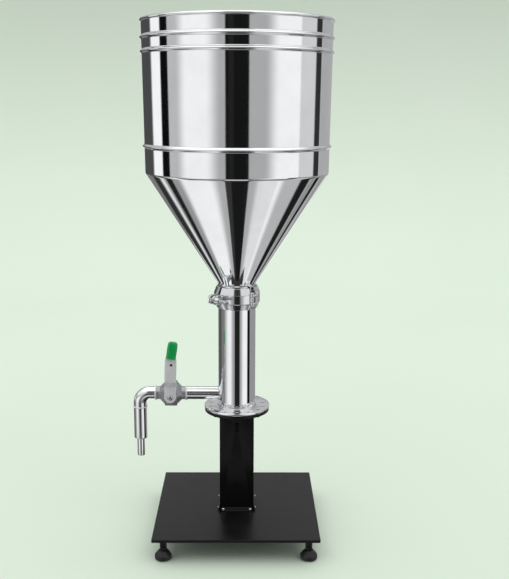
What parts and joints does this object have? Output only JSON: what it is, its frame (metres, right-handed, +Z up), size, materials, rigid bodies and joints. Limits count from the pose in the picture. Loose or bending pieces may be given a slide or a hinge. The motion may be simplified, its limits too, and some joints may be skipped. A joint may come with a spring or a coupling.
{
  "type": "piston liquid filler",
  "caption": "Open stainless hopper clamped on an upright piston cylinder with a ball-valve outlet and drop nozzle, on a black square post and base plate with levelling feet.",
  "frame": {"origin": "on the floor, under the axis of the pump cylinder", "axes": "+Z up, the outlet and nozzle along -X, the operator's side at -Y, the air inlets at +Y"},
  "size_m": [0.4008, 0.372, 1.0384],
  "materials": {
    "black_coat": "satin black powder coat",
    "dark_bar": "satin dark grey coat",
    "screw_steel": "bright stainless",
    "black_screw": "black oxide",
    "foot_plastic": "black nylon",
    "black_stem": "black zinc",
    "mirror_steel": "mirror-polished stainless",
    "satin_steel": "satin stainless",
    "cast_steel": "blasted cast stainless",
    "white_seal": "white PTFE",
    "piston_plastic": "natural acetal",
    "black_rubber": "black rubber",
    "bronze": "sintered bronze",
    "air_alloy": "anodised",
    "fitting_metal": "nickel-plated",
    "blue_plastic": "blue",
    "green_plastic": "green, dipped"
  },
  "bodies": {
    "stand": {"base_plate": "black_coat", "post": "black_coat", "bottom_cover": "black_coat", "foot_bars": "dark_bar", "foot_bar_screws": "screw_steel", "hinge_pins": "screw_steel", "bolt_pin": "screw_steel", "swing_bolt": "screw_steel", "tie_rods": "screw_steel", "tie_nuts": "screw_steel", "post_screws": "black_screw", "flange_screws": "black_screw", "pump_cylinder": "mirror_steel", "hopper_body": "mirror_steel", "hopper_cone": "mirror_steel", "outlet_elbow": "mirror_steel", "drop_pipe": "mirror_steel", "nozzle_tip": "mirror_steel", "drop_ring": "mirror_steel", "union_rings": "mirror_steel", "clamp_front": "satin_steel", "clamp_right": "satin_steel", "clamp_left": "satin_steel", "hinge_links": "satin_steel", "gland_nut": "satin_steel", "valve_body": "cast_steel", "valve_end": "cast_steel", "clamp_gasket": "white_seal", "valve_seats": "white_seal", "stem_packing": "white_seal", "rod_seal": "black_rubber", "rod_bush": "bronze", "air_barrel": "air_alloy", "air_caps": "air_alloy", "air_fittings": "fitting_metal", "fitting_collars": "blue_plastic"},
    "piston_group": {"piston": "piston_plastic", "piston_seals": "black_rubber", "piston_collar": "satin_steel", "piston_rod": "mirror_steel", "air_piston": "air_alloy", "air_piston_seal": "black_rubber"},
    "check_disc": {"check_disc": "satin_steel"},
    "valve_lever": {"valve_ball": "satin_steel", "valve_stem": "satin_steel", "lever": "satin_steel", "lever_plug": "foot_plastic", "lever_nut": "satin_steel", "lever_grip": "green_plastic"},
    "nut_washer": {"nut_washer": "satin_steel"},
    "wing_nut": {"wing_nut": "satin_steel"},
    "foot_pad_1": {"foot_pad_1": "foot_plastic"},
    "foot_stem_1": {"foot_stem_1": "black_stem"},
    "foot_pad_2": {"foot_pad_2": "foot_plastic"},
    "foot_stem_2": {"foot_stem_2": "black_stem"},
    "foot_pad_3": {"foot_pad_3": "foot_plastic"},
    "foot_stem_3": {"foot_stem_3": "black_stem"},
    "foot_pad_4": {"foot_pad_4": "foot_plastic"},
    "foot_stem_4": {"foot_stem_4": "black_stem"}
  },
  "joints": [
    {"name": "piston_stroke", "type": "slide", "parent": "stand", "child": "piston_group", "axis": [0, 0, 1], "range_m": [0, 0.1]},
    {"name": "check_disc_lift", "type": "slide", "parent": "piston_group", "child": "check_disc", "axis": [0, 0, 1], "range_m": [0, 0.005]},
    {"name": "valve_turn", "type": "hinge", "parent": "stand", "child": "valve_lever", "pos_m": [-0.1357, 0, 0.2956], "axis": [0, -1, 0], "range_deg": [0, 90]},
    {"name": "wing_nut_travel", "type": "slide", "parent": "stand", "child": "nut_washer", "axis": [0.6428, -0.766, 0], "range_m": [0, 0.012]},
    {"name": "wing_nut_spin", "type": "hinge", "parent": "nut_washer", "child": "wing_nut", "pos_m": [-0.046, -0.0386, 0.501], "axis": [0.6428, -0.766, 0], "range_deg": [0, 3450]},
    {"name": "foot_travel_1", "type": "slide", "parent": "stand", "child": "foot_pad_1", "axis": [0, 0, -1], "range_m": [-0.0008, 0.008]},
    {"name": "foot_spin_1", "type": "hinge", "parent": "foot_pad_1", "child": "foot_stem_1", "pos_m": [-0.1435, -0.1435, 0.03], "axis": [0, 0, -1], "range_deg": [-195, 1925]},
    {"name": "foot_travel_2", "type": "slide", "parent": "stand", "child": "foot_pad_2", "axis": [0, 0, -1], "range_m": [-0.0008, 0.008]},
    {"name": "foot_spin_2", "type": "hinge", "parent": "foot_pad_2", "child": "foot_stem_2", "pos_m": [0.1435, -0.1435, 0.03], "axis": [0, 0, -1], "range_deg": [-195, 1925]},
    {"name": "foot_travel_3", "type": "slide", "parent": "stand", "child": "foot_pad_3", "axis": [0, 0, -1], "range_m": [-0.0008, 0.008]},
    {"name": "foot_spin_3", "type": "hinge", "parent": "foot_pad_3", "child": "foot_stem_3", "pos_m": [-0.1435, 0.1435, 0.03], "axis": [0, 0, -1], "range_deg": [-195, 1925]},
    {"name": "foot_travel_4", "type": "slide", "parent": "stand", "child": "foot_pad_4", "axis": [0, 0, -1], "range_m": [-0.0008, 0.008]},
    {"name": "foot_spin_4", "type": "hinge", "parent": "foot_pad_4", "child": "foot_stem_4", "pos_m": [0.1435, 0.1435, 0.03], "axis": [0, 0, -1], "range_deg": [-195, 1925]}
  ],
  "couplings": [
    {"joint": "wing_nut_travel", "follows": "wing_nut_spin", "m_per_rad": 0.00019894},
    {"joint": "foot_spin_1", "follows": "foot_travel_1", "rad_per_m": 4188.8},
    {"joint": "foot_spin_2", "follows": "foot_travel_2", "rad_per_m": 4188.8},
    {"joint": "foot_spin_3", "follows": "foot_travel_3", "rad_per_m": 4188.8},
    {"joint": "foot_spin_4", "follows": "foot_travel_4", "rad_per_m": 4188.8}
  ]
}
